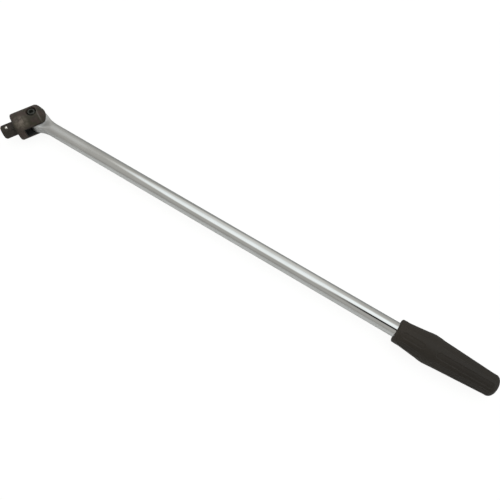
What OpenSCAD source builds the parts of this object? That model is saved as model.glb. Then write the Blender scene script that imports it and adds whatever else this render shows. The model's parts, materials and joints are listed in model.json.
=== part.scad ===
// Flex-head breaker bar, half-inch square drive, all sizes in millimetres.
// Origin: centre of the head's shoulder face, where a socket comes to rest.
// +X runs along the handle towards the grip, +Z along the pivot screw towards its head.

/* [Drive head] */
// Square drive, width across its flats
drive_af = 12.7; // [12.6:0.05:12.8]
// Diameter over the square drive's rounded corners
drive_corner_d = 16.5; // [16:0.1:17]
// Length of the square drive beyond the shoulder
drive_len = 16; // [13:0.1:18]
// Outside diameter of the turned head
head_d = 32.8; // [32:0.2:34]
// Distance from the pivot to the shoulder
seat_dist = 25.5; // [24:0.5:30]
// Bend between head and handle in the rest position
head_bend = 62; // [0:1:100]
// Radius on the shoulder's outer edge
shoulder_r = 2.8; // [1:0.1:3]

/* [Fork and pivot] */
// Width of the slot between the two ears
slot_w = 12.1; // [12:0.05:12.4]
// Distance from the pivot to the slot's bottom
slot_depth = 16.5; // [16.3:0.1:17]
// Distance from the pivot to the edge where the turned end of the ears begins
ear_edge = 6; // [5.5:0.1:7]
// Diameter of the pivot screw's ground shoulder
pin_d = 8; // [7.8:0.1:8.2]
// Diameter of the pivot screw's head
screw_head_d = 9.2; // [9:0.1:9.6]
// Diameter of the recess round the screw head
recess_d = 11.2; // [11:0.1:12]
// Hexagon socket in the screw head, across its flats
hex_af = 5; // [4:0.5:5]
// Nominal diameter of the screw's thread
thread_d = 7; // [6:0.5:7]

/* [Detents] */
// Diameter of the ball that holds a socket
drive_ball_d = 4.76; // [4.7:0.02:4.8]
// Distance from the shoulder to that ball
drive_ball_x = 9; // [8:0.1:10]
// How far that ball stands proud of the square
drive_ball_out = 0.88; // [0.7:0.02:1]
// Diameter of the plunger that rubs on the tongue
plunger_d = 6; // [5.6:0.2:6]

/* [Handle] */
// Distance from the pivot to the end of the grip
handle_len = 591.5; // [500:0.5:700]
// Diameter of the round shank
shank_d = 16; // [15.6:0.1:16.4]
// Thickness of the tongue
tongue_t = 11.9; // [11.8:0.05:11.95]
// Radius of the tongue about the pivot
tongue_r = 11.2; // [11:0.1:11.6]
// Distance from the pivot to the end of the forged neck
neck_end = 31; // [29:0.5:36]
// Half width of the forged neck at its widest, just behind the tongue
neck_hw = 11.8; // [11.6:0.1:12.4]

/* [Grip] */
// Length of the grip
grip_len = 105.5; // [96:0.5:120]
// Largest diameter of the grip
grip_max_d = 31.2; // [29:0.1:34]
// Diameter at the front of the grip
grip_front_d = 25.2; // [24:0.1:27]
// Diameter at the rear of the grip
grip_rear_d = 23.2; // [22.6:0.1:25]
// Distance from the grip's front face to its largest diameter
grip_peak = 34.6; // [30:0.2:40]
// Number of flutes round the grip
flute_count = 8; // [6:1:10]
// Depth of each flute
flute_depth = 0.6; // [0.5:0.1:1]
// Width of each flute
flute_w = 6.2; // [4:0.2:7]

/* [Hidden] */
$fn = 64;

head_r = head_d / 2;
shank_r = shank_d / 2;
pin_r = pin_d / 2;
pivot = [seat_dist * cos(head_bend), seat_dist * sin(head_bend), 0];
running_gap = 0.05;
spring_gap = 0.02;
// How far cutters overshoot an open face: plain cuts, then bevels
overcut = 1;
sliver = 0.01;
// Heights along the pivot screw
recess_floor = 11;
washer_t = 0.6;
screw_top = 15;
shoulder_end = -7.5;
thread_end = -15;
// Height of the drive ball's centre and of its pocket's floor
drive_ball_z = drive_af / 2 + drive_ball_out - drive_ball_d / 2;
pocket_floor = -4.2;
// Distances from the pivot: plunger's nose and rear end, bottom of its bore
plunger_tip = tongue_r + 0.01;
plunger_end = 21.3;
friction_bore_end = 26.6;
// Distances from the pivot: front of the grip, end of the tang inside it
grip_x0 = handle_len - grip_len;
tang_end = handle_len - 14;
spring_color = [0.62, 0.63, 0.65];

// Frames and shared shapes ----------------------------------------------

// Head frame: origin at the shoulder, +X towards the drive's tip, +Z along the screw
module in_head() { rotate([0, 0, 180 + head_bend]) children(); }

// Handle frame: origin at the pivot, +X towards the grip
module in_handle() { translate(pivot) children(); }

// Solid of revolution about X; points are [x, radius]
module turned(points, facets = 128) {
    rotate([90, 0, 90]) rotate_extrude($fn = facets) polygon([for (p = points) [p[1], p[0]]]);
}

// Arc of [x, radius] points; angles are measured from +X
function arc_points(centre_x, centre_radius, arc_r, from, to, steps) =
    [for (i = [0 : steps]) let (angle = from + (to - from) * i / steps)
        [centre_x + arc_r * cos(angle), centre_radius + arc_r * sin(angle)]];

// Closed skin over rings of equally many points, capped at both ends. Set clockwise when
// the rings run clockwise for a viewer looking from the first ring towards the last.
module skin(rings, clockwise = false) {
    sides = len(rings[0]);
    last = len(rings) - 1;
    walls = [for (i = [0 : last - 1]) for (j = [0 : sides - 1])
        let (a = i * sides, b = a + sides, k = (j + 1) % sides)
        each [[a + j, a + k, b + k], [a + j, b + k, b + j]]];
    caps = [[for (j = [sides - 1 : -1 : 0]) j], [for (j = [0 : sides - 1]) last * sides + j]];
    faces = concat(walls, caps);
    polyhedron(
        points = [for (ring = rings) each ring],
        faces = clockwise
            ? [for (face = faces) [for (i = [len(face) - 1 : -1 : 0]) face[i]]]
            : faces);
}

// Ease from 0 to 1, level at both ends
function smooth(t) = let (s = min(1, max(0, t))) s * s * (3 - 2 * s);

// Drive head ------------------------------------------------------------

// Turned end of the ears: a curve between two slopes, then a straight cone to the tip
ear_curve_r = 6.8;
ear_start_slope = 10;
ear_end_slope = 61;
ear_tip = 14.2;
ear_bore_d = pin_d + 0.06;
// How far the square reaches back into the head
drive_root = 2;
// Rounded tip of the square: [distance back from the tip, reduction in corner radius]
drive_tip = [[2.2, 0], [1.5, 0.55], [0.6, 1.5], [0, 2.5]];
pocket_d = drive_ball_d + 2 * running_gap;
pocket_lip = 0.7;

// Outline of the turned body, from the rear of the ears to the shoulder
function head_profile() =
    let (ear_curve = arc_points(-seat_dist - ear_edge + ear_curve_r * sin(ear_start_slope),
                                head_r - ear_curve_r * cos(ear_start_slope), ear_curve_r,
                                90 + ear_end_slope, 90 + ear_start_slope, 6),
         tip_x = -seat_dist - ear_tip,
         tip_r = ear_curve[0][1] - (ear_curve[0][0] - tip_x) * tan(ear_end_slope))
    concat([[tip_x, 0], [tip_x, tip_r]],
           ear_curve,
           arc_points(-shoulder_r, head_r - shoulder_r, shoulder_r, 90, 0, 6),
           [[0, 0]]);

module drive_square() {
    corner_r = drive_corner_d / 2;
    intersection() {
        translate([-drive_root, -drive_af / 2, -drive_af / 2])
            cube([drive_len + drive_root, drive_af, drive_af]);
        turned(concat([[-drive_root, 0], [-drive_root, corner_r]],
                      [for (p = drive_tip) [drive_len - p[0], corner_r - p[1]]],
                      [[drive_len, 0]]));
    }
}

// Slot for the tongue
module tongue_slot() {
    translate([-seat_dist - ear_tip - overcut, -head_r - overcut, -slot_w / 2])
        cube([ear_tip + overcut + slot_depth, head_d + 2 * overcut, slot_w]);
}

// Holes for the pivot screw
module screw_holes() {
    translate([-seat_dist, 0, 0]) {
        // +Z ear: recess and plain bore
        translate([0, 0, recess_floor]) cylinder(d = recess_d, h = head_r);
        cylinder(d = ear_bore_d, h = head_r, $fn = 96);
        // -Z ear: short plain bore, then the thread's hole with its lead-in
        translate([0, 0, shoulder_end - 0.1]) cylinder(d = ear_bore_d, h = 8, $fn = 96);
        translate([0, 0, -head_r - overcut]) cylinder(d = thread_d + 0.04, h = head_r);
        translate([0, 0, -head_r - sliver])
            cylinder(d1 = thread_d + 2.4, d2 = thread_d, h = 1.2);
    }
}

// Pocket for the drive ball, with a lip that keeps the ball in
module ball_pocket() {
    lip_z = drive_af / 2 - pocket_lip;
    translate([drive_ball_x, 0, pocket_floor]) cylinder(d = pocket_d, h = lip_z - pocket_floor);
    translate([drive_ball_x, 0, lip_z - sliver])
        cylinder(d1 = pocket_d, d2 = drive_ball_d - 0.44, h = pocket_lip + 2 * sliver);
}

// Bore for the friction plunger, open to the slot
module plunger_bore() {
    opening = 0.5;
    translate([slot_depth - seat_dist - opening, 0, 0]) rotate([0, 90, 0])
        cylinder(d = plunger_d + 2 * running_gap, h = friction_bore_end - slot_depth + opening);
}

module drive_head() color([0.20, 0.18, 0.17]) in_head() difference() {
    union() {
        turned(head_profile());
        drive_square();
    }
    tongue_slot();
    screw_holes();
    ball_pocket();
    plunger_bore();
}

// Pivot screw and washer ------------------------------------------------

screw_head_r = screw_head_d / 2;
thread_r = thread_d / 2;
thread_depth = 0.55;
thread_rings = 7;
thread_pitch = 1;
// One thread ring: [height, depth below the crest]
thread_ring = [[0.35, thread_depth], [0.65, 0], [0.8, 0], [1.1, thread_depth]];
// Bevels on the ground shoulder's end and on the head's lower and upper edges
pin_bevel = 0.3;
head_low_bevel = 0.2;
head_top_bevel = 0.45;
hex_depth = 2.8;

// Outline of the screw as [radius, height], from the thread's end up
function screw_profile() =
    let (seat = recess_floor + washer_t)
    concat([[0, thread_end], [thread_r - 0.9, thread_end]],
           [for (i = [0 : thread_rings - 1]) for (p = thread_ring)
               [thread_r - p[1], thread_end + i * thread_pitch + p[0]]],
           [[thread_r - thread_depth, shoulder_end],
            [pin_r - pin_bevel, shoulder_end], [pin_r, shoulder_end + pin_bevel],
            [pin_r, seat], [screw_head_r - head_low_bevel, seat],
            [screw_head_r, seat + head_low_bevel],
            [screw_head_r, screw_top - head_top_bevel],
            [screw_head_r - head_top_bevel, screw_top], [0, screw_top]]);

module pivot_screw() color([0.17, 0.17, 0.16]) in_handle() difference() {
    rotate_extrude($fn = 96) polygon(screw_profile());
    // hexagon socket with a bevelled mouth
    translate([0, 0, screw_top - hex_depth]) cylinder(d = hex_af / cos(30), h = 4, $fn = 6);
    translate([0, 0, screw_top - 0.35]) cylinder(d1 = hex_af - 0.1, d2 = hex_af + 1, h = 0.4);
}

// Split spring washer under the screw's head
module lock_washer() color([0.42, 0.42, 0.43]) in_handle() {
    split_w = 0.7;
    split_angle = 200;
    cut_h = 3;
    difference() {
        translate([0, 0, recess_floor]) cylinder(d = recess_d - 0.4, h = washer_t, $fn = 96);
        translate([0, 0, recess_floor - overcut]) cylinder(d = pin_d + 0.2, h = cut_h, $fn = 96);
        rotate([0, 0, split_angle]) translate([0, -split_w / 2, recess_floor - overcut])
            cube([10, split_w, cut_h]);
    }
}

// Ball, plunger and springs ---------------------------------------------

module drive_ball() color([0.86, 0.86, 0.85]) in_head()
    translate([drive_ball_x, 0, drive_ball_z]) sphere(d = drive_ball_d, $fn = 64);

// Round pin with a domed nose that bears on the tongue's rim
module friction_plunger() color([0.36, 0.36, 0.37]) in_head() {
    plunger_r = plunger_d / 2;
    bevel = 0.4;
    translate([-seat_dist, 0, 0])
        turned(concat(arc_points(plunger_tip + plunger_r, 0, plunger_r, 180, 90, 6),
                      [[plunger_end - bevel, plunger_r], [plunger_end, plunger_r - bevel],
                       [plunger_end, 0]]),
               facets = 64);
}

// Round-wire compression spring along +Z from z = 0; one closed flat turn at each end
// is added to the open turns
module coil(mean_r, wire_r, length, turns) {
    sides = 8;
    per_turn = 22;
    wire_d = 2 * wire_r;
    open_rise = length - 3 * wire_d;
    // rise of the wire's centre after t turns
    function rise(t) =
        t < 1 ? wire_d * t
        : t > turns + 1 ? wire_d + open_rise + wire_d * (t - turns - 1)
        : wire_d + open_rise * (t - 1) / turns;
    skin([for (i = [0 : (turns + 2) * per_turn])
        let (t = i / per_turn, z = wire_r + rise(t))
        [for (j = [0 : sides - 1])
            let (around = 360 * j / sides, r = mean_r + wire_r * cos(around))
            [r * cos(360 * t), r * sin(360 * t), z + wire_r * sin(around)]]]);
}

module drive_ball_spring() color(spring_color) in_head() {
    bottom = pocket_floor + spring_gap;
    top = drive_ball_z - 1.9;
    translate([drive_ball_x, 0, bottom])
        coil(mean_r = 1.55, wire_r = 0.27, length = top - bottom, turns = 5);
}

module friction_spring() color(spring_color) in_head()
    translate([friction_bore_end - seat_dist - spring_gap, 0, 0]) rotate([0, -90, 0])
        coil(mean_r = 2.05, wire_r = 0.4,
             length = friction_bore_end - plunger_end - 2 * spring_gap, turns = 3);

// Handle ----------------------------------------------------------------

// Stations along the neck, from the pivot
neck_x0 = 1.5;       // start of the loft, inside the tongue
neck_swell = 3;      // starts to widen
neck_wide = 7;       // starts to narrow
neck_square = 12;    // section starts to turn round
neck_flat = 17;      // starts to thicken
shank_x0 = neck_end - 1;
neck_x1 = neck_end - 0.4;
neck_swell_len = neck_wide - 2.5;
neck_taper = 15.5;   // length of the narrowing
neck_steps = 30;
neck_sides = 64;
// Half widths and half thicknesses at the neck's ends
neck_front_hw = tongue_r - 0.3;
neck_front_ht = tongue_t / 2 - 0.06;
neck_rear_r = shank_r - 0.03;
// Grooves round the tang: [distance along the groove, depth]
tang_groove = [[0, 0], [0.8, 0.5], [3.2, 0.5], [4, 0]];
groove_count = 6;
groove_start = 26;
groove_pitch = 9;
tang_bevel = 1.2;

// Half width, half thickness and squareness of the neck at x; squareness 2 is an ellipse
function neck_half_w(x) = x < neck_wide
    ? neck_front_hw + (neck_hw - neck_front_hw) * smooth((x - neck_swell) / neck_swell_len)
    : neck_rear_r + (neck_hw - neck_rear_r) * (1 - smooth((x - neck_wide) / neck_taper));
function neck_half_t(x) = neck_front_ht
    + (neck_rear_r - neck_front_ht) * smooth((x - neck_flat) / (shank_x0 - neck_flat));
function neck_squareness(x) =
    2 + 8 * pow(1 - smooth((x - neck_square) / (shank_x0 - neck_square)), 1.6);

function signed_pow(v, e) = v < 0 ? -pow(-v, e) : pow(v, e);

// Superellipse across the neck at x
function neck_section(x) =
    let (half_w = neck_half_w(x), half_t = neck_half_t(x), power = 2 / neck_squareness(x))
    [for (j = [0 : neck_sides - 1]) let (a = 360 * (j + 0.5) / neck_sides)
        [x, half_w * signed_pow(cos(a), power), half_t * signed_pow(sin(a), power)]];

module neck() {
    skin([for (i = [0 : neck_steps]) neck_section(neck_x0 + (neck_x1 - neck_x0) * i / neck_steps)],
         clockwise = true);
}

// Round shank, then the grooved tang inside the grip
module round_bar() {
    turned(concat([[shank_x0, 0], [shank_x0, shank_r]],
                  [for (i = [0 : groove_count - 1]) for (p = tang_groove)
                      [grip_x0 + groove_start + groove_pitch * i + p[0], shank_r - p[1]]],
                  [[tang_end - tang_bevel, shank_r], [tang_end, shank_r - tang_bevel],
                   [tang_end, 0]]));
}

module shank() color([0.74, 0.74, 0.72]) in_handle() difference() {
    union() {
        translate([0, 0, -tongue_t / 2]) cylinder(r = tongue_r, h = tongue_t, $fn = 128);
        neck();
        round_bar();
    }
    cylinder(d = pin_d + 2 * running_gap, h = 40, center = true, $fn = 96);
}

// Grip; x is measured from its front face --------------------------------

front_r = grip_front_d / 2;
rear_r = grip_rear_d / 2;
peak_r = grip_max_d / 2;
front_edge_r = 1.6;
// Past the peak: [distance behind the peak, drop from the peak radius]
peak_fall = [[0, 0], [1.5, 0.06], [3.5, 0.2]];
// Rounded rear end: [distance from the end, drop from the rear radius]
rear_round = [[8.5, 0], [6, 0.25], [4.4, 0.75], [2.8, 1.7], [1.5, 3.2], [0.7, 5.2]];
first_flute_angle = 26;
// Tapered flute end: [distance in from the end, drop as a share of the flute's depth]
flute_end = [[-0.4, 1.3], [0.8, 0.45], [3, 0]];

// The grip swells from its front face to the peak, then tapers straight to its rounded end
function grip_profile() =
    concat([[0, 0]],
           arc_points(front_edge_r, front_r - front_edge_r, front_edge_r, 180, 90, 3),
           [for (u = [0.15 : 0.1 : 0.95])
               [grip_peak * u,
                front_r + (peak_r - front_r) * (0.62 * pow(u, 1.4) + 0.38 * smooth(u))]],
           [for (p = peak_fall) [grip_peak + p[0], peak_r - p[1]]],
           [for (p = rear_round) [grip_len - p[0], rear_r - p[1]]],
           [[grip_len - 0.2, rear_r * 0.3], [grip_len, 0]]);

// Flute cutter lying along the grip; r0 and r1 are the grip's radii at x0 and x1
module flute(x0, x1, r0, r1) {
    cutter_r = (flute_w * flute_w / 4 + flute_depth * flute_depth) / (2 * flute_depth);
    tilt = atan2(r1 - r0, x1 - x0);
    length = (x1 - x0) / cos(tilt);
    tip = flute_end[0][0];
    translate([x0, 0, r0 - flute_depth + cutter_r]) rotate([0, -tilt, 0])
        turned(concat([[tip, 0]],
                      [for (p = flute_end) [p[0], cutter_r - flute_depth * p[1]]],
                      [for (i = [2 : -1 : 0]) let (p = flute_end[i])
                          [length - p[0], cutter_r - flute_depth * p[1]]],
                      [[length - tip, 0]]),
               facets = 64);
}

// Blind bore for the tang, with a bevelled mouth
module tang_bore() {
    translate([-overcut, 0, 0]) rotate([0, 90, 0])
        cylinder(d = shank_d - 0.06, h = overcut + tang_end - grip_x0 + 0.5, $fn = 96);
    translate([-sliver, 0, 0]) rotate([0, 90, 0])
        cylinder(d1 = shank_d + 1.2, d2 = shank_d - 0.1, h = 0.7);
}

module grip() color([0.19, 0.18, 0.18]) in_handle() translate([grip_x0, 0, 0]) difference() {
    turned(grip_profile());
    // a short flute before the peak and a long one behind it
    for (i = [0 : flute_count - 1])
        rotate([first_flute_angle + 360 * i / flute_count, 0, 0]) {
            flute(x0 = 6, x1 = 29.5, r0 = front_r + 0.1, r1 = peak_r - 0.4);
            flute(x0 = 42, x1 = grip_len - 5.5, r0 = peak_r - 0.48, r1 = rear_r - 0.2);
        }
    tang_bore();
}

// Assembly --------------------------------------------------------------
shank();
grip();
drive_head();
pivot_screw();
lock_washer();
drive_ball();
drive_ball_spring();
friction_plunger();
friction_spring();
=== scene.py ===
# Flex-head breaker bar. The handle runs along +X from the pivot, the joint "head_swing".
# The head has its origin at its shoulder: the square drive points along HEAD_DIR, the axis of
# "plunger_press", and the pivot lies behind the shoulder. The pivot pin stands along Z.
import json
import math
import bpy
import bmesh
import numpy as np
from mathutils import Matrix, Vector


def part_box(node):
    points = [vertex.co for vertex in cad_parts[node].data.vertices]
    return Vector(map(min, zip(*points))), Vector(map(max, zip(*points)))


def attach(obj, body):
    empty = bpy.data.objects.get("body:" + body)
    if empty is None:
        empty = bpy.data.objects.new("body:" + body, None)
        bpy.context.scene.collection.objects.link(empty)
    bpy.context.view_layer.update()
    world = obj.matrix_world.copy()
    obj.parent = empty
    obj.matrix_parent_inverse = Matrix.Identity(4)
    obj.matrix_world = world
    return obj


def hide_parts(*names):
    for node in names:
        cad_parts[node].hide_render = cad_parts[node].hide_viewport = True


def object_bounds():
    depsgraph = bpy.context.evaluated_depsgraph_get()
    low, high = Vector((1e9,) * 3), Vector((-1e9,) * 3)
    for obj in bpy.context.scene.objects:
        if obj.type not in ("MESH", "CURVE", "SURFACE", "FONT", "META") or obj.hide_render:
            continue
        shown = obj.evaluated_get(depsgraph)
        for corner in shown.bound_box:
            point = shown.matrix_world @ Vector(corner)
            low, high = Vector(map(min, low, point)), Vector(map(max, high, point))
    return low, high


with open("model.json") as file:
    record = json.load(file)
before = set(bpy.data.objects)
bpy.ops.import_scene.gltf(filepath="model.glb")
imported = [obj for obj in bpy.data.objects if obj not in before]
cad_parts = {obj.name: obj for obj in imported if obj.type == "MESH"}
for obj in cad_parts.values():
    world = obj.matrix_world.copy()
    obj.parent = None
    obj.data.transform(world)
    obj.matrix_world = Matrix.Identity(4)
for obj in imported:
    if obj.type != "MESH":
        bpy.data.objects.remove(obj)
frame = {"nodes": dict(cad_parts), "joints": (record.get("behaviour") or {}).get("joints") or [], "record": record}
CAD_LO, CAD_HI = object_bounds()
JOINTS = {joint["name"]: joint for joint in frame["joints"]}
PIVOT = Vector(JOINTS["head_swing"]["pos_m"])
HEAD_DIR = Vector(JOINTS["plunger_press"]["axis"]).normalized()
MM = 0.001

TO_HANDLE = Matrix.Translation(PIVOT)
TO_HEAD = Matrix.Rotation(math.atan2(HEAD_DIR.y, HEAD_DIR.x), 4, "Z")
UPRIGHT = Matrix.Rotation(math.radians(-90), 4, "Y")    # +X becomes +Z

# Sizes shared by several pieces, in millimetres
SEAT = PIVOT.length / MM            # pivot to shoulder
TONGUE_R, TONGUE_T = 11.2, 11.9     # flat tongue round the pivot: radius, thickness
SHANK_R = 8.0
GRIP_LO, GRIP_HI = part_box("grip")
GRIP_X0 = (GRIP_LO.x - PIVOT.x) / MM
GRIP_LEN = (GRIP_HI.x - GRIP_LO.x) / MM


# ---------------------------------------------------------------- mesh helpers
def smoothstep(t):
    t = np.clip(t, 0.0, 1.0)
    return t * t * (3 - 2 * t)


def solid(name, verts, faces, matrix=None):
    """Object from points in metres, welded and with its normals outward."""
    mesh = bpy.data.meshes.new(name)
    mesh.from_pydata([tuple(v) for v in verts], [], faces)
    mesh.validate()
    if matrix is not None:
        mesh.transform(matrix)
    mesh.update()
    ob = bpy.data.objects.new(name, mesh)
    bpy.context.scene.collection.objects.link(ob)
    bm = bmesh.new()
    bm.from_mesh(mesh)
    bmesh.ops.remove_doubles(bm, verts=bm.verts, dist=1e-7)
    bmesh.ops.recalc_face_normals(bm, faces=bm.faces)
    bm.to_mesh(mesh)
    bm.free()
    return ob


def section(x, y, z):
    """One ring of points in the plane at x."""
    return np.stack([np.full(len(y), x), y, z], -1)


def loft(name, rings, matrix=None):
    """Closed skin through rings of equal point count, from one end to the other."""
    count, around, _ = rings.shape
    verts = list(rings.reshape(-1, 3) * MM)
    faces = []
    for i in range(count - 1):
        for j in range(around):
            here, ahead, k = i * around, (i + 1) * around, (j + 1) % around
            faces.append((here + k, ahead + k, ahead + j, here + j))
    for ring in (0, count - 1):
        centre = len(verts)
        verts.append(rings[ring].mean(0) * MM)
        for j in range(around):
            a, b = ring * around + j, ring * around + (j + 1) % around
            faces.append((centre, a, b) if ring else (centre, b, a))
    return solid(name, verts, faces, matrix)


def turned(name, points, around=96, matrix=None):
    """Solid of revolution about X through [x, radius] points."""
    angles = np.arange(around) * 2 * np.pi / around
    rings = [[[x, r * np.cos(t), r * np.sin(t)] for t in angles] for x, r in points]
    return loft(name, np.array(rings), matrix)


def box_mesh(name, lo, hi):
    xs, ys, zs = zip(lo, hi)
    verts = np.array([[x, y, z] for x in xs for y in ys for z in zs]) * MM
    faces = [(0, 1, 3, 2), (4, 6, 7, 5), (0, 4, 5, 1), (2, 3, 7, 6), (0, 2, 6, 4), (1, 5, 7, 3)]
    return solid(name, verts, faces)


def bake(ob):
    """Applies every modifier to the object's mesh."""
    bpy.context.view_layer.update()
    depsgraph = bpy.context.evaluated_depsgraph_get()
    mesh = bpy.data.meshes.new_from_object(ob.evaluated_get(depsgraph))
    ob.modifiers.clear()
    old = ob.data
    ob.data = mesh
    bpy.data.meshes.remove(old)


def combine(ob, tools, operation="DIFFERENCE"):
    """Booleans the tools into the object, then removes them."""
    for tool in tools:
        boolean = ob.modifiers.new("cut", "BOOLEAN")
        boolean.operation = operation
        boolean.solver = "EXACT"
        boolean.object = tool
    bake(ob)
    for tool in tools:
        bpy.data.objects.remove(tool)


def shade(ob, angle=None):
    """Smooth shading; edges that turn by more than angle (degrees) stay sharp."""
    for face in ob.data.polygons:
        face.use_smooth = True
    if angle is None:
        return
    bm = bmesh.new()
    bm.from_mesh(ob.data)
    for e in bm.edges:
        sharp = len(e.link_faces) == 2 and e.calc_face_angle(0.0) > math.radians(angle)
        e.smooth = not sharp
    bm.to_mesh(ob.data)
    bm.free()


# ---------------------------------------------------------------- shank
# Millimetres along +X from the pivot. The neck widens from the tongue, then tapers to the shank.
NECK_END = 31.0
NECK_START = 3.0
NECK_WIDE, NECK_HALF_W = 7.0, 11.8      # widest place and half width there
NECK_TAPER = 15.5                       # length of the narrowing
NECK_FLAT = 17.0                        # thickness stays the tongue's up to here
SQUARISH_END = 12.0                     # section starts turning round here
WAIST = 0.3                             # neck starts this much narrower than the tongue
RIM_R = 0.9                             # rounding of the tongue's rim
TANG_GAP, TANG_CHAMFER = 14, 1.2        # tang's end to the grip's end, and its chamfer
PIN_HOLE_R = 4.05
TIP_DEGREES = (1.5, 4, 7, 10, 14, 18, 23, 28, 34, 40, 47, 54, 61, 68, 75, 83)


def neck_half_width(x):
    if x < NECK_WIDE:
        rise = smoothstep((x - NECK_START) / (NECK_WIDE - 2.5))
        width = TONGUE_R - WAIST + (NECK_HALF_W - TONGUE_R + WAIST) * rise
    else:
        fall = smoothstep((x - NECK_WIDE) / NECK_TAPER)
        width = SHANK_R + (NECK_HALF_W - SHANK_R) * (1 - fall)
    if x > NECK_START:
        return width
    disc = math.sqrt(TONGUE_R ** 2 - x ** 2)
    return disc if x < 0 else max(disc, width)


def neck_half_thickness(x):
    swell = smoothstep((x - NECK_FLAT) / (NECK_END - 1 - NECK_FLAT))
    half = TONGUE_T / 2 + (SHANK_R - TONGUE_T / 2) * swell
    into = x + TONGUE_R
    if into < RIM_R:
        half -= RIM_R - math.sqrt(RIM_R ** 2 - (RIM_R - into) ** 2)
    return half


def neck_exponent(x):
    """Superellipse exponent: 11 is nearly a rectangle, 2 is round."""
    return 2 + 9 * (1 - smoothstep((x - SQUARISH_END) / (NECK_END - 13))) ** 1.6


def make_shank():
    around = 160
    angles = (np.arange(around) + 0.5) * 2 * np.pi / around
    cos, sin = np.cos(angles), np.sin(angles)
    tang_end = GRIP_X0 + GRIP_LEN - TANG_GAP
    tip = [-TONGUE_R * math.cos(math.radians(d)) for d in TIP_DEGREES]
    neck = np.arange(0, NECK_END + 0.01, 0.5)
    straight = np.arange(34, tang_end - 1.4, 6.0)
    rings = []
    for x in np.concatenate([tip, neck, straight]):
        power = 2 / float(neck_exponent(x))
        y = float(neck_half_width(x)) * np.sign(cos) * np.abs(cos) ** power
        z = float(neck_half_thickness(x)) * np.sign(sin) * np.abs(sin) ** power
        rings.append(section(x, y, z))
    for x, r in ((tang_end - TANG_CHAMFER, SHANK_R), (tang_end, SHANK_R - TANG_CHAMFER)):
        rings.append(section(x, r * cos, r * sin))
    ob = loft("shank_forging", np.array(rings), TO_HANDLE)
    hole = [[-20, PIN_HOLE_R], [20, PIN_HOLE_R]]
    combine(ob, [turned("hole", hole, matrix=TO_HANDLE @ UPRIGHT)])
    shade(ob, 40)
    return ob


# ---------------------------------------------------------------- grip
# Millimetres along +X from the grip's -X face
FRONT_R, CREST_R, REAR_R = 12.6, 15.6, 11.6
CREST_X, CREST_LEN, CREST_DROP = 34.6, 3.5, 0.2
DOME_LEN, DOME_STEPS = 8.5, 27
BORE_R, BORE_BOTTOM = 7.97, GRIP_LEN - 12.5
FACE_R, FACE_ROUND = 12.72, 2.0                    # -X face: outer radius and its rounding
FACE_LIP = [[0.35, 8.25], [0.06, 8.9], [0.0, 9.6], [0.0, 10.3]]     # x, radius
FLUTE_W, FLUTE_DEPTH = 6.3, 0.46
FLUTE_PITCH = 2 * math.pi / 8
FLUTE_PHASE = math.radians(114)
FLUTE_SPANS = ((5.6, 30.0), (41.6, GRIP_LEN - 5.4))     # start x, end x


def grip_radius(x):
    past = x - CREST_X
    if past < 0:
        u = x / CREST_X
        return FRONT_R + (CREST_R - FRONT_R) * (0.62 * u ** 1.4 + 0.38 * smoothstep(u))
    if x < CREST_X + CREST_LEN:
        return CREST_R - 0.016 * past ** 2
    taper_len = GRIP_LEN - DOME_LEN - CREST_X - CREST_LEN
    slope = (REAR_R - CREST_R + CREST_DROP) * (past - CREST_LEN) / taper_len
    return CREST_R - CREST_DROP + slope


def flute_mask(x, r, theta, start, end):
    """0 outside the flutes, rising to 1 on a flute's centre line; theta runs round the grip."""
    half = FLUTE_W / 2
    off = (theta - FLUTE_PHASE + FLUTE_PITCH / 2) % FLUTE_PITCH - FLUTE_PITCH / 2
    across = np.abs(off) * r / half
    along = max(start + half - x, x - (end - half), 0) / half
    return 1 - np.clip(np.sqrt(across ** 2 + along ** 2), 0, 1) ** 10


def grip_outline():
    """[x, radius] from the bottom of the blind bore, over the -X face, to the domed end."""
    points = [[BORE_BOTTOM, BORE_R], [1.0, BORE_R]] + FACE_LIP
    for d in range(80, -1, -10):
        a = math.radians(d)
        x = FACE_ROUND - FACE_ROUND * math.sin(a)
        points.append([x, FACE_R - FACE_ROUND + FACE_ROUND * math.cos(a)])
    points += [[x, grip_radius(x)] for x in np.arange(2.4, GRIP_LEN - 8.9, 0.45)]
    dome_x = GRIP_LEN - DOME_LEN
    dome_r = grip_radius(dome_x)
    for k in range(DOME_STEPS):
        u = 1 - (1 - k / DOME_STEPS) ** 2
        points.append([dome_x + DOME_LEN * u, (dome_r - 0.25 * u) * (1 - u ** 3) ** 0.435])
    return points + [[GRIP_LEN, 0.12]]


def make_grip():
    around = 384
    theta = np.arange(around) * 2 * np.pi / around
    rings = []
    for i, (x, r) in enumerate(grip_outline()):
        if i > 0:       # the first ring is the bottom of the bore
            r = r - FLUTE_DEPTH * sum(flute_mask(x, r, theta, *span) for span in FLUTE_SPANS)
        rings.append(section(x, r * np.cos(theta), r * np.sin(theta)))
    matrix = Matrix.Translation(PIVOT + Vector((GRIP_X0 * MM, 0, 0)))
    ob = loft("grip_moulding", np.array(rings), matrix)
    shade(ob, 50)
    return ob


# ---------------------------------------------------------------- drive head
# Millimetres in the head's frame: shoulder at x = 0, drive towards +X, pivot at x = -SEAT
HEAD_R = 16.4
SHOULDER_ROUND = 2.9
EAR_ROUND, EAR_STEPS = 6.8, 12                            # arc at the ears' outer edge
EAR_FROM, EAR_TO = math.radians(10), math.radians(61)     # slopes where the arc starts, ends
EAR_EDGE, EAR_TIP = 6.0, 14.2                             # pivot to the arc, pivot to the tip
SLOT_HALF = 6.05
DRIVE_HALF = 6.35
# x, corner radius, inset of the flats
DRIVE_STATIONS = (
    (-3, 8.25, 0), (13.0, 8.25, 0), (13.9, 8.2, 0), (14.6, 7.8, 0),
    (15.2, 7.2, 0.02), (15.6, 6.7, 0.08), (15.85, 6.4, 0.22), (16.0, 6.1, 0.45),
)
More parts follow.
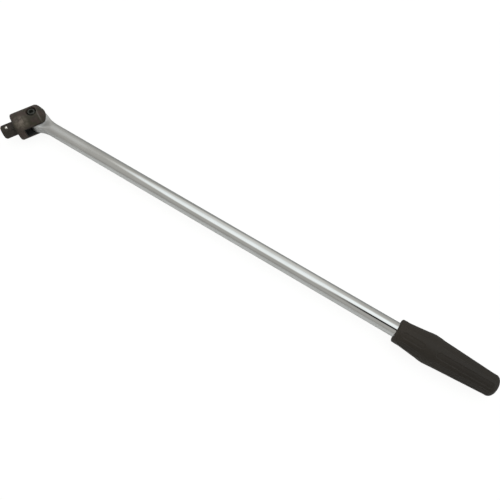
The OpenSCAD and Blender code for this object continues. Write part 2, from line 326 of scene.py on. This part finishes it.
# name, x of the axis, [z, radius] points
UPRIGHT_CUTS = (
    ("recess", -SEAT, [[11, 5.6], [13.2, 5.7], [14.2, 6.0], [20, 6.9]]),
    ("bore", -SEAT, [[-7.6, 4.03], [16, 4.03]]),
    ("thread_hole", -SEAT, [[-20, 3.52], [-7, 3.52]]),
    ("lead_in", -SEAT, [[-17, 4.9], [-15.0, 3.5]]),
    ("pocket", 9.0, [[-4.2, 2.43], [5.64, 2.43], [5.95, 2.34], [6.36, 2.2], [7, 2.1]]),
)
PLUNGER_BORE = [[-SEAT + 16, 3.05], [-SEAT + 26.6, 3.05]]     # x, radius
HEAD_VOXEL = 0.00031        # metres


def head_outline():
    """[x, radius] from the ears' tip to the shoulder."""
    arc = []
    for i in range(EAR_STEPS, -1, -1):
        a = EAR_FROM + (EAR_TO - EAR_FROM) * i / EAR_STEPS
        arc.append([-SEAT - EAR_EDGE - EAR_ROUND * (math.sin(a) - math.sin(EAR_FROM)),
                    HEAD_R - EAR_ROUND * (math.cos(EAR_FROM) - math.cos(a))])
    tip_x = -SEAT - EAR_TIP
    tip_r = arc[0][1] - (arc[0][0] - tip_x) * math.tan(EAR_TO)
    shoulder = []
    for d in range(90, -1, -10):
        a = math.radians(d)
        shoulder.append([-SHOULDER_ROUND + SHOULDER_ROUND * math.cos(a),
                         HEAD_R - SHOULDER_ROUND + SHOULDER_ROUND * math.sin(a)])
    return [[tip_x, 0.02], [tip_x, tip_r]] + arc + shoulder + [[0, 0.02]]


def make_square():
    """Square drive, cut back at its corners and round its tip."""
    around = 256
    theta = (np.arange(around) + 0.5) * 2 * np.pi / around
    cos, sin = np.cos(theta), np.sin(theta)
    square = DRIVE_HALF / np.maximum(np.abs(cos), np.abs(sin))
    rings = []
    for x, corner, inset in DRIVE_STATIONS:
        r = np.minimum(square - inset, corner)
        rings.append(section(x, r * cos, r * sin))
    return loft("square", np.array(rings))


def make_head():
    body = turned("head_forging", head_outline(), 256)
    combine(body, [make_square()], "UNION")
    slot_lo = (-SEAT - 16, -18, -SLOT_HALF)
    slot_hi = (-SEAT + 16.5, 18, SLOT_HALF)
    cuts = [box_mesh("slot", slot_lo, slot_hi)]
    for name, x, points in UPRIGHT_CUTS:
        matrix = Matrix.Translation((x * MM, 0, 0)) @ UPRIGHT
        cuts.append(turned(name, points, matrix=matrix))
    cuts.append(turned("plunger_bore", PLUNGER_BORE))
    combine(body, cuts)
    # Remeshed and smoothed, so that every edge is slightly rounded
    remesh = body.modifiers.new("remesh", "REMESH")
    remesh.mode = "VOXEL"
    remesh.voxel_size = HEAD_VOXEL
    remesh.use_smooth_shade = True
    soften = body.modifiers.new("soften", "SMOOTH")
    soften.factor = 0.5
    soften.iterations = 3
    bake(body)
    body.data.transform(TO_HEAD)
    shade(body)
    return body


made = []
for make, link, part, slot in (
    (make_shank, "handle", "shank", "handle_steel"),
    (make_grip, "handle", "grip", "grip_plastic"),
    (make_head, "head", "drive_head", "head_steel"),
):
    piece = make()
    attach(piece, link)
    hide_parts(part)
    made.append((piece, slot))


# ---------------------------------------------------------------- shader helpers
class Graph:
    """Adds nodes to a shader tree. Any input may be a value or another node's output."""

    def __init__(self, tree, coords="Object"):
        self.tree = tree
        self.coords = self.add("TexCoord").outputs[coords]

    def feed(self, node, inputs):
        for key, value in inputs.items():
            socket = node.inputs[key]
            if value is None:
                continue
            if isinstance(value, bpy.types.NodeSocket):
                self.tree.links.new(value, socket)
            elif socket.type == "RGBA":
                socket.default_value = (*value, 1.0)
            else:
                socket.default_value = value

    def add(self, kind, inputs={}):
        node = self.tree.nodes.new("ShaderNode" + kind)
        self.feed(node, inputs)
        return node

    def separate(self):
        return self.add("SeparateXYZ", {0: self.coords}).outputs

    def mapped(self, scale, offset=(0, 0, 0)):
        inputs = {"Vector": self.coords, "Scale": scale, "Location": offset}
        return self.add("Mapping", inputs).outputs[0]

    def noise(self, scale, detail=3.0, rough=0.5, vector=None, distortion=0.0):
        return self.add("TexNoise", {
            "Scale": scale, "Detail": detail, "Roughness": rough, "Distortion": distortion,
            "Vector": vector or self.coords}).outputs["Fac"]

    def math(self, operation, a, b=None, clamp=False):
        node = self.add("Math", {0: a, 1: b})
        node.operation = operation
        node.use_clamp = clamp
        return node.outputs[0]

    def times(self, a, b):
        return self.math("MULTIPLY", a, b)

    def vector_math(self, operation, other=None):
        node = self.add("VectorMath", {0: self.coords, 1: other})
        node.operation = operation
        return node.outputs["Value"]

    def ramp(self, value, over, to=(0.0, 1.0), smooth=True):
        """Takes value from the range over to the range to, held at both ends."""
        node = self.add("MapRange", {
            "Value": value, "From Min": over[0], "From Max": over[1],
            "To Min": to[0], "To Max": to[1]})
        node.interpolation_type = "SMOOTHSTEP" if smooth else "LINEAR"
        return node.outputs["Result"]

    def mix(self, factor, a, b):
        node = self.add("Mix")
        node.data_type = "RGBA"
        self.feed(node, {0: factor, 6: a, 7: b})      # 6 and 7 are the colour inputs
        return node.outputs[2]

    def pointiness(self):
        return self.add("NewGeometry").outputs["Pointiness"]

    def bump(self, height, distance, strength, normal=None):
        return self.add("Bump", {"Distance": distance, "Strength": strength,
                                 "Height": height, "Normal": normal}).outputs[0]

    def output(self, kind, lighting, seen):
        """Shows one shader to the camera and lights the scene with the other."""
        mixed = self.add("MixShader", {
            0: self.add("LightPath").outputs["Is Camera Ray"],
            1: lighting.outputs[0], 2: seen.outputs[0]})
        self.add(kind, {0: mixed.outputs[0]})


class Surface(Graph):
    """A new material built on its Principled BSDF."""

    def __init__(self, name):
        self.material = bpy.data.materials.new(name)
        self.material.use_nodes = True
        super().__init__(self.material.node_tree)

    def finish(self, inputs):
        self.feed(self.tree.nodes["Principled BSDF"], inputs)
        return self.material


def scaled(colour, factor):
    return tuple(k * factor for k in colour)


# ---------------------------------------------------------------- materials
def satin_chrome():
    m = Surface("satin_chrome")
    x = m.separate()[0]
    lines = m.noise(scale=1.0, detail=2.0, rough=0.6, vector=m.mapped((18, 2600, 2600)))
    cloud = m.noise(scale=38.0, rough=0.55)
    fine = m.noise(scale=2200.0, detail=2.0)
    # duller towards the forged neck
    forged = m.ramp(x, over=(PIVOT.x + 0.020, PIVOT.x + 0.125), to=(1.0, 0.0))
    tint = m.mix(m.ramp(cloud, over=(0.3, 0.7)), (0.575, 0.575, 0.558), (0.615, 0.613, 0.60))
    tint = m.mix(m.times(forged, 0.5), tint, (0.50, 0.49, 0.475))
    rough = m.math("ADD", m.times(forged, 0.42), 0.062)
    rough = m.math("ADD", rough, m.ramp(cloud, over=(0.25, 0.75), to=(-0.01, 0.02)))
    rough = m.math("ADD", rough, m.ramp(lines, over=(0.3, 0.7), to=(-0.012, 0.012)))
    brushed = m.bump(lines, distance=0.000004, strength=0.35)
    normal = m.bump(fine, distance=0.000004, strength=0.5, normal=brushed)
    return m.finish({"Base Color": tint, "Metallic": 1.0, "Roughness": rough, "Normal": normal})


def head_tones(m, colour, patch, dark):
    """Tones laid over the head's coating, with a painted highlight and painted shade; places are metres in the
    head's frame.
    """
    reddish, olive = (0.066, 0.042, 0.034), (0.042, 0.0375, 0.018)
    highlight_centre, highlight_radius = (0.0120, 0.0042, 0.0142), 0.0115
    edge_x, edge_width = -(SEAT + 5.9) * MM, 0.0011      # where the ears' arc starts
    slot_x = (-0.0080, -0.0088)                          # fade into the slot's length

    drift = m.noise(scale=125.0, detail=2.0, vector=m.mapped((1, 1, 1), offset=(3.7, 1.2, 0.4)))
    colour = m.mix(m.ramp(drift, over=(0.42, 0.60), to=(0.0, 0.55)), colour, reddish)
    colour = m.mix(m.ramp(drift, over=(0.52, 0.38), to=(0.0, 0.55)), colour, olive)

    # painted highlight: a lighter, mottled patch near the shoulder
    away = m.vector_math("DISTANCE", highlight_centre)
    mottle = m.noise(scale=290.0, detail=5.0, rough=0.7, distortion=0.25)
    near = m.times(m.ramp(away, over=(highlight_radius, highlight_radius * 0.1)),
                   m.ramp(mottle, over=(0.32, 0.68), to=(0.12, 1.0)))
    colour = m.mix(near, colour, (0.205, 0.170, 0.136))

    # the drive is darker than the body
    along = m.vector_math("DOT_PRODUCT", HEAD_DIR)
    drive = m.ramp(along, over=(-0.0035, 0.0005), to=(0.0, 0.55))
    colour = m.mix(drive, colour, scaled(dark, 0.72))

    # the slot's walls, then painted shade along the lip where they meet the outside
    length = m.vector_math("LENGTH")
    radial = m.math("SQRT", m.math("SUBTRACT", m.math("POWER", length, 2.0),
                                   m.math("POWER", along, 2.0)))
    inside = m.times(m.ramp(m.math("ABSOLUTE", m.separate()[2]), over=(0.0065, 0.0061)),
                     m.ramp(radial, over=(0.0161, 0.0156)))
    inside = m.times(inside, m.ramp(along, over=slot_x))
    colour = m.mix(inside, colour, (0.034, 0.0355, 0.0360))
    slot_edge_shade = m.times(m.ramp(m.math("ABSOLUTE", m.separate()[2]), over=(0.0076, 0.0066)),
                  m.ramp(along, over=slot_x))
    slot_edge_shade = m.times(slot_edge_shade, m.ramp(radial, over=(0.0156, 0.0161)))
    colour = m.mix(m.times(slot_edge_shade, 0.75), colour, (0.013, 0.0115, 0.0100))

    # painted highlight: a lighter line round the ears' edge
    off = m.math("ABSOLUTE", m.math("SUBTRACT", along, edge_x))
    crease_highlight = m.times(m.ramp(off, over=(edge_width, edge_width * 0.25)),
                   m.ramp(patch, over=(0.35, 0.6), to=(0.25, 1.0)))
    return m.mix(crease_highlight, colour, (0.115, 0.10, 0.085))


def phosphated(name, dark, light, edge, rough, grain, specular, tones=None):
    m = Surface(name)
    patch = m.noise(scale=95.0, detail=4.0, rough=0.6, distortion=0.6)
    fleck = m.noise(scale=900.0, rough=0.6)
    fine = m.noise(scale=3600.0, detail=2.0)
    colour = m.mix(m.ramp(patch, over=(0.32, 0.68)), dark, light)
    flecked = m.times(m.ramp(fleck, over=(0.55, 0.8)), 0.35)
    colour = m.mix(flecked, colour, scaled(light, 1.9))
    if tones:
        colour = tones(m, colour, patch, dark)
    wear = m.ramp(m.pointiness(), over=(0.51, 0.58))
    wear = m.times(wear, m.ramp(patch, over=(0.25, 0.7), to=(0.3, 1.0)))
    colour = m.mix(m.times(wear, 0.6), colour, edge)
    metallic = m.times(wear, 0.5)
    roughness = m.ramp(patch, over=(0.3, 0.7), to=rough)
    roughness = m.math("SUBTRACT", roughness, m.times(wear, 0.12))
    normal = m.bump(fine, distance=grain, strength=0.5)
    normal = m.bump(fleck, distance=grain * 1.6, strength=0.35, normal=normal)
    return m.finish({"Base Color": colour, "Metallic": metallic, "Roughness": roughness,
                     "Specular IOR Level": specular, "Normal": normal})


def machined(name, colour, rough):
    m = Surface(name)
    lines = m.noise(scale=1.0, detail=2.0, rough=0.6, vector=m.mapped((2600, 2600, 52)))
    cloud = m.noise(scale=240.0)
    tint = m.mix(m.ramp(cloud, over=(0.3, 0.7)), scaled(colour, 0.85), scaled(colour, 1.12))
    roughness = m.ramp(cloud, over=(0.25, 0.75), to=(rough - 0.05, rough + 0.05))
    normal = m.bump(lines, distance=0.00001, strength=0.4)
    return m.finish({"Base Color": tint, "Metallic": 1.0, "Roughness": roughness,
                     "Normal": normal})


def moulded_grip():
    m = Surface("moulded_grip")
    cloud = m.noise(scale=42.0, detail=4.0, rough=0.6, distortion=0.4)
    grain = m.noise(scale=2400.0, detail=2.0, rough=0.55)
    fine = m.noise(scale=6500.0, detail=1.0)
    colour = m.mix(m.ramp(cloud, over=(0.3, 0.7)),
                   (0.0270, 0.0213, 0.0155), (0.0355, 0.0285, 0.0212))
    # darker towards +X: painted shade, the grip's front lit more than its rear
    darker = m.ramp(m.separate()[0], to=(0.0, 0.5), smooth=False,
                    over=(PIVOT.x + GRIP_X0 * MM, PIVOT.x + (GRIP_X0 + 75) * MM))
    colour = m.mix(darker, colour, (0.0150, 0.0125, 0.0095))
    edge = m.ramp(m.pointiness(), over=(0.505, 0.54))
    colour = m.mix(m.times(edge, 0.35), colour, (0.06, 0.052, 0.044))
    # painted shade in the flutes' hollows
    hollow_shade = m.ramp(m.pointiness(), over=(0.495, 0.465))
    colour = m.mix(m.times(hollow_shade, 0.5), colour, (0.012, 0.011, 0.011))
    roughness = m.ramp(cloud, over=(0.3, 0.7), to=(0.52, 0.62))
    normal = m.bump(grain, distance=0.00004, strength=0.4)
    normal = m.bump(fine, distance=0.00002, strength=0.3, normal=normal)
    return m.finish({"Base Color": colour, "Roughness": roughness,
                     "Specular IOR Level": 0.27, "Normal": normal})


MATS = {
    "handle_steel": satin_chrome(),
    "grip_plastic": moulded_grip(),
    "head_steel": phosphated(
        "phosphated_head", dark=(0.031, 0.0245, 0.0185), light=(0.050, 0.041, 0.032),
        edge=(0.13, 0.115, 0.10), rough=(0.48, 0.62), grain=0.00004, specular=0.28,
        tones=head_tones),
    "screw_steel": phosphated(
        "blackened_screw", dark=(0.018, 0.0195, 0.0145), light=(0.028, 0.030, 0.023),
        edge=(0.10, 0.10, 0.09), rough=(0.38, 0.5), grain=0.00002, specular=0.35),
    "washer_steel": machined("washer_steel", colour=(0.035, 0.035, 0.032), rough=0.42),
    "ball_steel": machined("bearing_steel", colour=(0.80, 0.765, 0.71), rough=0.2),
    "spring_steel": machined("spring_wire", colour=(0.42, 0.43, 0.45), rough=0.3),
    "plunger_steel": machined("plunger_steel", colour=(0.09, 0.09, 0.09), rough=0.35),
}
SLOT_OF = {part["node"]: part["material_slot"] for part in frame["record"]["subparts"]}
for piece, slot in [(ob, SLOT_OF[name]) for name, ob in frame["nodes"].items()] + made:
    piece.data.materials.clear()
    piece.data.materials.append(MATS[slot])


# ---------------------------------------------------------------- floor
WHITE = (1, 1, 0.995)


def floor_material():
    mat = bpy.data.materials.new("floor_white")
    mat.use_nodes = True
    mat.node_tree.nodes.clear()
    g = Graph(mat.node_tree)
    matt = g.add("BsdfDiffuse", {"Color": (0.13, 0.13, 0.13)})
    glow = g.add("Emission", {"Color": WHITE, "Strength": 0.92})
    seen = g.add("AddShader", {0: matt.outputs[0], 1: glow.outputs[0]})
    # reflected in the bar, the floor is brighter on the bar's -Y side and fades further out
    y = g.separate()[1]
    near = g.ramp(y, over=(PIVOT.y + 0.006, PIVOT.y - 0.006), to=(0.50, 0.97), smooth=False)
    fade = g.ramp(y, over=(PIVOT.y - 0.015, PIVOT.y - 0.090), to=(1.0, 0.80), smooth=False)
    tone = g.times(near, fade)
    grey = g.add("CombineColor", {k: tone for k in range(3)})
    reflected = g.add("BsdfDiffuse", {"Color": grey.outputs[0]})
    g.output("OutputMaterial", reflected, seen)
    return mat


def make_floor():
    z = CAD_LO.z - 0.0004
    s = 6.0     # half the floor's side
    mesh = bpy.data.meshes.new("floor")
    mesh.from_pydata([(-s, -s, z), (s, -s, z), (s, s, z), (-s, s, z)], [], [(0, 1, 2, 3)])
    ob = bpy.data.objects.new("floor", mesh)
    bpy.context.scene.collection.objects.link(ob)
    mesh.materials.append(floor_material())


make_floor()

# ---------------------------------------------------------------- light: a studio in the world
# Angle round X in degrees, from +Y (0) over +Z (90) to -Y (180); brightness there
SOFT_BOX = (
    (-20, 0.50), (0, 0.62), (12, 0.70), (32, 0.88), (52, 0.99), (60, 1.16), (72, 1.34),
    (92, 1.44), (104, 1.42), (112, 1.1), (118, 0.75), (126, 0.55), (134, 0.55), (152, 0.53),
    (172, 0.47), (184, 0.50), (200, 0.56),
)
# the +X end, with a black band past the soft box
BANDED = (
    (-20, 0.50), (0, 0.57), (12, 0.57), (32, 0.62), (44, 0.70), (54, 0.92), (62, 1.36),
    (72, 1.5), (88, 1.48), (97, 1.4), (101, 1.0), (104.5, 0.08), (112, 0.0), (119, 0.03),
    (124.5, 0.44), (132, 0.55), (152, 0.55), (172, 0.48), (184, 0.50), (200, 0.56),
)
# the -X end, without the soft box
DULL = (
    (-20, 0.46), (0, 0.46), (20, 0.52), (42, 0.59), (62, 0.59), (80, 0.59), (96, 0.59),
    (112, 0.59), (128, 0.58), (145, 0.55), (163, 0.47), (181, 0.44), (200, 0.46),
)
CURVE_TOP = 2.0     # brightness at the top of a curve


def brightness(g, angle, stops):
    lo, hi = -20.0, 200.0
    node = g.add("FloatCurve")
    curve = node.mapping.curves[0]
    points = [((a - lo) / (hi - lo), level / CURVE_TOP) for a, level in stops]
    curve.points[0].location = points[0]
    curve.points[1].location = points[-1]
    for point in points[1:-1]:
        curve.points.new(*point)
    for point in curve.points:
        point.handle_type = "AUTO_CLAMPED"
    node.mapping.update()
    place = g.math("DIVIDE", g.math("SUBTRACT", angle, lo), hi - lo, clamp=True)
    g.feed(node, {"Value": place})
    return g.times(node.outputs[0], CURVE_TOP)


def blend(g, a, b, factor):
    return g.math("ADD", g.times(b, factor), g.times(a, g.math("SUBTRACT", 1.0, factor)))


def make_world():
    world = bpy.data.worlds.new("studio")
    bpy.context.scene.world = world
    world.use_nodes = True
    world.node_tree.nodes.clear()
    g = Graph(world.node_tree, "Generated")
    x, y, z = g.separate()
    angle = g.times(g.math("ARCTAN2", z, y), 180 / math.pi)
    lit, banded, dull = [brightness(g, angle, s) for s in (SOFT_BOX, BANDED, DULL)]
    # the soft box's -X end is bowed
    off_centre = g.math("DIVIDE", g.math("SUBTRACT", angle, 70.0), 25.0)
    bow = g.times(g.math("POWER", off_centre, 2.0), 0.036)
    in_box = g.ramp(g.math("SUBTRACT", x, bow), over=(-0.550, -0.455))
    in_band = g.ramp(x, over=(-0.13, 0.02))
    level = blend(g, blend(g, dull, lit, in_box), banded, in_band)
    # the bright soft box is a little cooler than the room
    tint = g.mix(g.ramp(level, over=(0.7, 1.3)), (1.0, 0.992, 0.955), (0.93, 0.98, 1.0))
    lighting = g.add("Background", {"Color": tint, "Strength": level})
    backdrop = g.add("Background", {"Color": WHITE, "Strength": 1.0})
    g.output("OutputWorld", lighting, backdrop)


make_world()


# ---------------------------------------------------------------- camera
def make_camera():
    data = bpy.data.cameras.new("camera")
    ob = bpy.data.objects.new("camera", data)
    bpy.context.scene.collection.objects.link(ob)
    bpy.context.scene.camera = ob
    data.sensor_width = 36.0
    data.lens = 37.44
    data.clip_start, data.clip_end = 0.01, 50.0
    data.shift_y = -0.0004
    back = Vector((0.23566609, -0.34891357, 0.90703959)).normalized()
    right = Vector((0.8384576, 0.54490457, -0.00823716)).normalized()
    up = back.cross(right).normalized()
    matrix = Matrix((right, up, back)).transposed().to_4x4()
    matrix.translation = PIVOT + Vector((0.44639427, -0.1999214, 0.50596439))
    ob.matrix_world = matrix


make_camera()

view = bpy.context.scene.view_settings
view.view_transform = "Standard"
view.look = "None"
view.exposure = 0.0
view.gamma = 1.0

bpy.context.view_layer.update()
